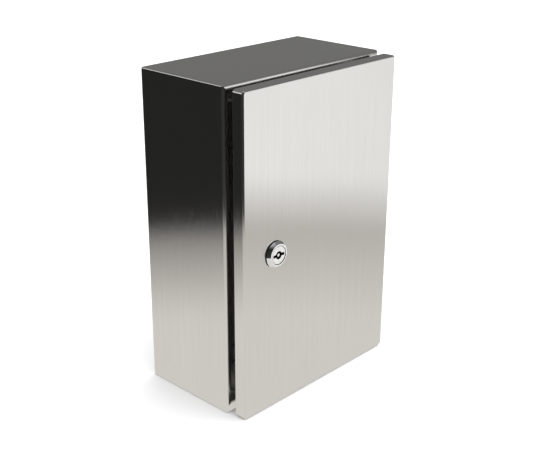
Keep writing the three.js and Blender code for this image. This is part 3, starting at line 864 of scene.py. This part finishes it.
def hinge_door_half(place, z):
    """The half welded inside the door's flange and curled round the pin."""
    node = f"hinge_door_half_{place}"
    left, right = 95.2 * MM, 96.7 * MM
    rear = DOOR_REAR_Y - 0.05 * MM
    leaf_reach, curl_reach = 20 * MM, 11.5 * MM
    leaf = bevelled(block(node + "_curled", (left, DOOR_FRONT_Y + SHEET + MM, z - leaf_reach),
                          (right, rear, z + leaf_reach)), 0.35 * MM, 3)
    start = 180 + math.degrees(math.acos((PIN[0] - left) / KNUCKLE))
    end = -math.degrees(math.acos((right - PIN[0]) / KNUCKLE))
    outline = [(left, rear - MM)] + knuckle_outline(start, end) + [(right, rear - MM)]
    curl = prism("curl", outline, "Z", z - curl_reach, z + curl_reach)
    combine(leaf, [bevelled(curl, 0.25 * MM, 2, 50)], "UNION")
    combine(leaf, [pin_bore(z)])
    piece(leaf, "door", "hinge_steel", HINGE_STEEL, node, sharp=40)


def hinge_pin(place):
    """A pin with a rounded head on top and a chamfered end."""
    node = f"hinge_pin_{place}"
    low, high = low_high(node, 2)
    radius, head = 1.5 * MM, 2.5 * MM
    head_low = high - 1.5 * MM
    profile = [(0, low), (radius - 0.4 * MM, low), (radius, low + 0.5 * MM),
               (radius, head_low), (head - 0.2 * MM, head_low), (head, head_low + 0.2 * MM),
               (head, high - 0.7 * MM), (head * 0.86, high - 0.25 * MM),
               (head * 0.55, high), (0, high)]
    pin = turned(node + "_headed", profile, (PIN[0], PIN[1], 0), ALONG_Z, 32)
    piece(pin, "cabinet", "hinge_steel", BARE_STEEL, node, sharp=40)


def hinge_backing_plate(place):
    """The tapped plate behind the front return."""
    node = f"hinge_backing_plate_{place}"
    low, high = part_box(node)
    centre = middle(node)
    outline = [(a + centre.x, b + centre.z) for a, b in
               rounded_rect((high.x - low.x) / 2, (high.z - low.z) / 2, 1.5 * MM, 6)]
    plate = bevelled(prism(node + "_tapped", outline, "Y", low.y, high.y), 0.3 * MM, 2, 50)
    combine(plate, screw_holes(place, 2.3 * MM, low.y, high.y))
    piece(plate, "cabinet", "zinc_plate", ZINC, node, sharp=45)


def hinge_screw(node):
    """A socket-head screw, its head to the front."""
    face, tip = low_high(node, 1)
    place = upright(node)
    seat = face + 1.9 * MM
    head, shank = 3.3 * MM, 2 * MM
    screw = threaded(node + "_socket_head", shank, 0.7 * MM, place, (0, -1, 0), -tip,
                     -(seat + 3.5 * MM),
                     [(shank, -(seat + 3 * MM)), (shank, -seat), (head, -seat),
                      (head, -(face + MM)), (head * 0.95, -(face + 0.5 * MM)),
                      (head * 0.8, -(face + 0.12 * MM)), (head * 0.62, -face)])
    combine(screw, [hex_tool(place, 2.5 * MM, face - MM, face + 1.2 * MM)])
    piece(screw, "cabinet", "zinc_plate", ZINC, node, sharp=40)


def hinge(place):
    """A lift-off hinge between the front return and the door's flange."""
    z = middle(f"hinge_door_half_{place}").z
    hinge_fixed_half(place, z)
    hinge_door_half(place, z)
    hinge_pin(place)
    hinge_backing_plate(place)
    hinge_screw(f"hinge_screw_{place}_top")
    hinge_screw(f"hinge_screw_{place}_bottom")


hinge("upper")
hinge("lower")


# ---------------------------------------------------------------- lock

BEZEL_RIM = DOOR_FRONT_Y - 1.0 * MM
LOCK_SOFT = 0.18 * MM


def lock_housing():
    """The bezel in front of the door and the threaded barrel behind it, with two flats."""
    face, back, rim, soft = BEZEL_LOW.y, BEZEL_HIGH.y, BEZEL_RIM, LOCK_SOFT
    bore = 8.5 * MM
    rear_bore = 7.3 * MM
    bore_step = DOOR_FRONT_Y + SHEET + 2 * MM
    profile = [(bore, face + 0.25 * MM), (bore + 0.25 * MM, face), (9.8 * MM, face)]
    profile += [(10.1 * MM, face + 0.08 * MM), (10.3 * MM, face + 0.3 * MM),
                (10.85 * MM, face + 1.0 * MM), (11.4 * MM, face + 1.7 * MM),
                (11.95 * MM, rim - 0.6 * MM), (12.15 * MM, rim - 0.25 * MM), (12.2 * MM, rim)]
    barrel, thread_root = 10.6 * MM, 10.25 * MM
    profile += [(barrel, rim)]
    step = 0.5 * MM
    a = rim + 3.2 * MM
    while a < back - 1.2 * MM:
        profile += [(barrel, a), (thread_root, a + step / 2), (barrel, a + step)]
        a += 2 * step
    profile += [(barrel, back - 0.6 * MM), (10 * MM, back), (rear_bore + soft, back),
                (rear_bore, back - soft), (rear_bore, bore_step), (bore, bore_step)]
    housing = turned("lock_housing_turned", profile, LOCK_AXIS, ALONG_Y, 96)
    flat, tool_width, tool_half_height = 9.6 * MM, 3 * MM, 12 * MM
    flats = [block("flat", (x, rim + 2.5 * MM, -tool_half_height),
                   (x + tool_width, back + MM, tool_half_height))
             for x in (LOCK_X - flat - tool_width, LOCK_X + flat)]
    combine(housing, flats)
    piece(housing, "door", "chrome", CHROME, "lock_housing", sharp=30)
    paint(housing, SATIN, lambda c, n: n.y < -0.97 and c.y < face + MM)


def lock_seal():
    """The rubber ring between the bezel and the door."""
    end = low_high("lock_seal", 1)[1]
    outer = low_high("lock_seal", 0)[1] - LOCK_X
    start = BEZEL_RIM + 0.02 * MM
    soft = LOCK_SOFT
    seal = turned("lock_seal_moulded", [
        (LOCK_HOLE, start), (outer - soft, start), (outer, start + soft), (outer, end - soft),
        (outer - soft, end), (LOCK_HOLE, end)], LOCK_AXIS, ALONG_Y, 64)
    piece(seal, "door", "seal_rubber", RUBBER, "lock_seal")


def lock_rotor():
    """The turning part: a double-bit keyhole round a pin, and a square drive at the back."""
    face, back = low_high("lock_rotor", 1)
    radius = 8.2 * MM
    shoulder = DOOR_FRONT_Y + SHEET + 1.7 * MM
    neck_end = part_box("lock_cam")[0].y - 0.3 * MM
    neck = 7 * MM
    profile = [(0, face + 0.05 * MM), (4.6 * MM, face + 0.05 * MM), (5.2 * MM, face),
               (radius - 0.35 * MM, face), (radius - 0.1 * MM, face + 0.12 * MM),
               (radius, face + 0.4 * MM), (radius, shoulder), (neck, shoulder),
               (neck, neck_end), (0, neck_end)]
    rotor = turned("lock_rotor_turned", profile, LOCK_AXIS, ALONG_Y, 96)
    square = 4 * MM
    drive = bevelled(block("drive", (LOCK_X - square, neck_end - 2 * MM, -square),
                           (LOCK_X + square, back, square)), 0.5 * MM, 2)
    combine(rotor, [drive], "UNION")
    depth = 6 * MM
    reach, thickness = 7.5 * MM, 1.3 * MM
    wings = block("wings", (LOCK_X - reach, face - MM, -thickness),
                  (LOCK_X + reach, face + depth, thickness))
    combine(wings, [rod("limit", LOCK_AXIS, ALONG_Y, 6.9 * MM, face - 2 * MM,
                        face + depth + MM, 48)], "INTERSECT")
    pin_radius, throat_radius = 1.5 * MM, 3.7 * MM
    throat = turned("throat", [(pin_radius, face + 0.4 * MM), (pin_radius, face + depth),
                               (throat_radius, face + depth), (throat_radius, face - MM),
                               (0, face - MM),
                               (0, face + 0.4 * MM), (1.2 * MM, face + 0.4 * MM)],
                    LOCK_AXIS, ALONG_Y, 48)
    combine(rotor, [wings])
    combine(rotor, [throat])
    pin = turned("key_pin", [(0, face + 0.35 * MM), (1.0 * MM, face + 0.35 * MM),
                             (1.35 * MM, face + 0.5 * MM), (pin_radius, face + 0.9 * MM),
                             (pin_radius, face + depth + 0.5 * MM),
                             (0, face + depth + 0.5 * MM)],
                 LOCK_AXIS, ALONG_Y, 32)
    combine(rotor, [pin], "UNION")
    combine(rotor, [rod("tapped", LOCK_AXIS, ALONG_Y, 2.4 * MM, back - 8.7 * MM,
                        back + MM, 32)])
    piece(rotor, "lock", "chrome", CHROME, "lock_rotor", sharp=30)
    paint(rotor, SATIN, lambda c, n: n.y < -0.9 and c.y < face + 0.6 * MM)
    # Painted shade: the faces inside the keyhole's recess get the near-black metal.
    paint(rotor, KEYHOLE_PAINTED_SHADE, lambda c, n: face + 0.55 * MM < c.y < face + depth + 0.1 * MM
          and math.hypot(c.x - LOCK_X, c.z) < 7 * MM)


def lock_nut():
    start, end = low_high("lock_nut", 1)
    ring_nut = nut("lock_nut_hex", 27 * MM, LOCK_HOLE, LOCK_AXIS, ALONG_Y, start, end)
    piece(ring_nut, "door", "zinc_plate", ZINC, "lock_nut")


def lock_cam():
    """A flat cam with round ends, pointing down at rest, on the rotor's square drive."""
    low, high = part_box("lock_cam")
    half = 8 * MM
    tip = low.z + half
    outline = arc((LOCK_X, 0), high.z, 0, 180, 24) + arc((LOCK_X, tip), half, 180, 360, 24)
    cam = prism("lock_cam_pressed", outline, "Y", low.y, high.y)
    hole = 4.3 * MM
    combine(cam, [block("square", (LOCK_X - hole, low.y - MM, -hole),
                        (LOCK_X + hole, high.y + MM, hole))])
    bevelled(cam, 0.3 * MM, 2, 50)
    piece(cam, "lock", "zinc_plate", ZINC, "lock_cam", sharp=45)


def lock_cam_screw():
    """The screw that holds the cam, with a hexagon socket."""
    low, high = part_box("lock_cam_screw")
    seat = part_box("lock_cam")[1].y + 0.3 * MM
    head, soft = 6.4 * MM, LOCK_SOFT
    shank = 2.1 * MM
    screw = threaded("lock_cam_screw_hex_socket", shank, 0.8 * MM, LOCK_AXIS, ALONG_Y,
                     low.y, seat - MM,
                     [(shank, seat - 0.8 * MM), (shank, seat), (head - soft, seat),
                      (head, seat + soft), (head, high.y - 0.9 * MM),
                      (head - 0.25 * MM, high.y - 0.35 * MM), (head - 0.9 * MM, high.y),
                      (3 * MM, high.y), (2.9 * MM, high.y - 0.15 * MM)])
    combine(screw, [hex_tool(LOCK_AXIS, 4 * MM, high.y - 2 * MM, high.y + MM)])
    piece(screw, "lock", "zinc_plate", ZINC, "lock_cam_screw", sharp=40)


lock_housing()
lock_seal()
lock_rotor()
lock_nut()
lock_cam()
lock_cam_screw()


# ---------------------------------------------------------------- stage, light and camera

def camera():
    """The photograph's view: from the front left, a little above."""
    azimuth = math.radians(-46.61)
    elevation = math.radians(21.51)
    distance = 912.2 * MM
    roll = math.radians(0.23)
    centre = Vector((0, (WALL_Y + DOOR_FRONT_Y) / 2, 0))
    target = centre + Vector((-2.7 * MM, -0.3 * MM, -6.2 * MM))
    back = Vector((math.sin(azimuth) * math.cos(elevation),
                   -math.cos(azimuth) * math.cos(elevation), math.sin(elevation)))
    data = bpy.data.cameras.new("camera")
    data.sensor_width = 36
    data.lens = 64.76
    data.clip_start = 0.01
    obj = bpy.data.objects.new("camera", data)
    bpy.context.scene.collection.objects.link(obj)
    turn = back.to_track_quat("Z", "Y") @ Matrix.Rotation(roll, 3, "Z").to_quaternion()
    obj.matrix_world = Matrix.Translation(target + back * distance) @ turn.to_matrix().to_4x4()
    bpy.context.scene.camera = obj


def studio_world():
    """A studio as reflections see it: a pale table, bright panels to the front right that stand
    on the table's far edge, a dark flag to the back left with a strip light over it, grey walls
    and a brighter ceiling. The camera itself sees plain white."""
    table_near, table_far = 0.75, 0.55
    panel, strip_light, ceiling = 1.0, 0.9, 0.5
    pale_wall, grey_wall, dark_wall, flag = 0.4, 0.18, 0.04, 0.02
    warm, neutral = (1.03, 1.0, 0.96), (1.0, 1.0, 1.0)
    # Heights are sines of the elevation. Directions are degrees from +X towards +Y.
    table_edge = -0.37
    blend = 0.05
    grey_top, ceiling_foot = 0.84, 0.95

    world = bpy.data.worlds.new("studio")
    bpy.context.scene.world = world
    world.use_nodes = True
    nodes, links = world.node_tree.nodes, world.node_tree.links
    nodes.clear()
    split = nodes.new("ShaderNodeSeparateXYZ")
    links.new(nodes.new("ShaderNodeTexCoord").outputs["Generated"], split.inputs[0])
    azimuth = add_math(nodes, links, "ARCTAN2", split.outputs["Y"], split.outputs["X"])
    around = add_range(nodes, links, azimuth, 0, 1, -math.pi, math.pi)
    height = add_range(nodes, links, split.outputs["Z"], 0, 1, -1, 1)

    def ramp(value, stops):
        node = nodes.new("ShaderNodeValToRGB")
        elements = node.color_ramp.elements
        while len(elements) < len(stops):
            elements.new(0.5)
        for element, (position, grey, tint) in zip(elements, stops):
            element.position = position
            element.color = (*(grey * channel for channel in tint), 1)
        links.new(value, node.inputs[0])
        return node.outputs["Color"]

    def wall(stops, far=table_far):
        """The table up to its edge, then (height, grey) stops, then the ceiling."""
        table = [(-1.0, table_near, warm), (-0.45, table_near, warm), (table_edge, far, warm)]
        stops = stops + [(grey_top, grey_wall), (ceiling_foot, ceiling)]
        upper = [(sine, grey, neutral) for sine, grey in stops]
        return ramp(height, [((sine + 1) / 2, grey, tint) for sine, grey, tint in table + upper])

    def share(stops):
        """How much of a wall is seen, from (direction, share) stops."""
        return ramp(around, [((degrees + 180) / 360, part, neutral) for degrees, part in stops])

    def mix(factor, a, b):
        node = nodes.new("ShaderNodeMix")
        node.data_type = "RGBA"
        links.new(factor, node.inputs["Factor"])
        links.new(a, node.inputs["A"])
        links.new(b, node.inputs["B"])
        return node.outputs["Result"]

    above_edge = table_edge + blend
    surround = wall([(above_edge, pale_wall), (0.0, pale_wall), (0.1, grey_wall)])
    low_panel = wall([(above_edge, panel), (-0.14, panel), (-0.08, grey_wall)])
    tall_panel = wall([(above_edge, panel), (0.34, panel), (0.42, grey_wall)])
    camera_side = wall([(table_edge + 0.01, dark_wall), (0.7, flag)])
    flag_side = wall([(table_edge + 0.002, flag), (0.1, flag), (0.13, strip_light),
                      (0.42, strip_light), (0.46, grey_wall)], 0.25)
    by_low_panel = share([(-93, 0), (-72, 1), (-40, 1), (12, 0)])
    by_tall_panel = share([(-66, 0), (-60, 1), (-40, 1), (-38, 0)])
    by_camera = share([(-180, 1), (-78, 1), (-68, 0), (140, 0), (158, 1)])
    by_flag = share([(92, 0), (110, 1), (150, 1), (168, 0)])
    surround = mix(by_low_panel, surround, low_panel)
    surround = mix(by_tall_panel, surround, tall_panel)
    surround = mix(by_camera, surround, camera_side)
    surround = mix(by_flag, surround, flag_side)

    seen, backdrop = nodes.new("ShaderNodeBackground"), nodes.new("ShaderNodeBackground")
    links.new(surround, seen.inputs["Color"])
    backdrop.inputs["Color"].default_value = (1, 1, 1, 1)
    choose = nodes.new("ShaderNodeMixShader")
    links.new(nodes.new("ShaderNodeLightPath").outputs["Is Camera Ray"], choose.inputs[0])
    links.new(seen.outputs[0], choose.inputs[1])
    links.new(backdrop.outputs[0], choose.inputs[2])
    output = nodes.new("ShaderNodeOutputWorld")
    links.new(choose.outputs[0], output.inputs[0])


def floor():
    """A plain pale floor under the base. Reflections see the studio's table instead."""
    size = 6.0
    gap = 0.1 * MM
    z = -HALF_HEIGHT - gap
    obj = mesh_object("floor", [(-size, -size, z), (size, -size, z), (size, size, z),
                                (-size, size, z)], [(0, 1, 2, 3)])
    material, _nodes, _links, shader = new_material("pale_floor")
    shader.inputs["Base Color"].default_value = (0.93, 0.93, 0.93, 1)
    shader.inputs["Roughness"].default_value = 0.9
    obj.data.materials.append(material)
    obj.visible_glossy = False


def overhead_light():
    """A very soft light from above, for the floor and the pieces that aren't bright metal."""
    data = bpy.data.lights.new("overhead", "SUN")
    data.energy = 5.0
    data.angle = math.radians(120)
    obj = bpy.data.objects.new("overhead", data)
    bpy.context.scene.collection.objects.link(obj)
    obj.rotation_euler = (math.radians(25), math.radians(10), 0)
    obj.visible_glossy = False


camera()
studio_world()
floor()
overhead_light()
bpy.context.scene.view_settings.view_transform = "Standard"
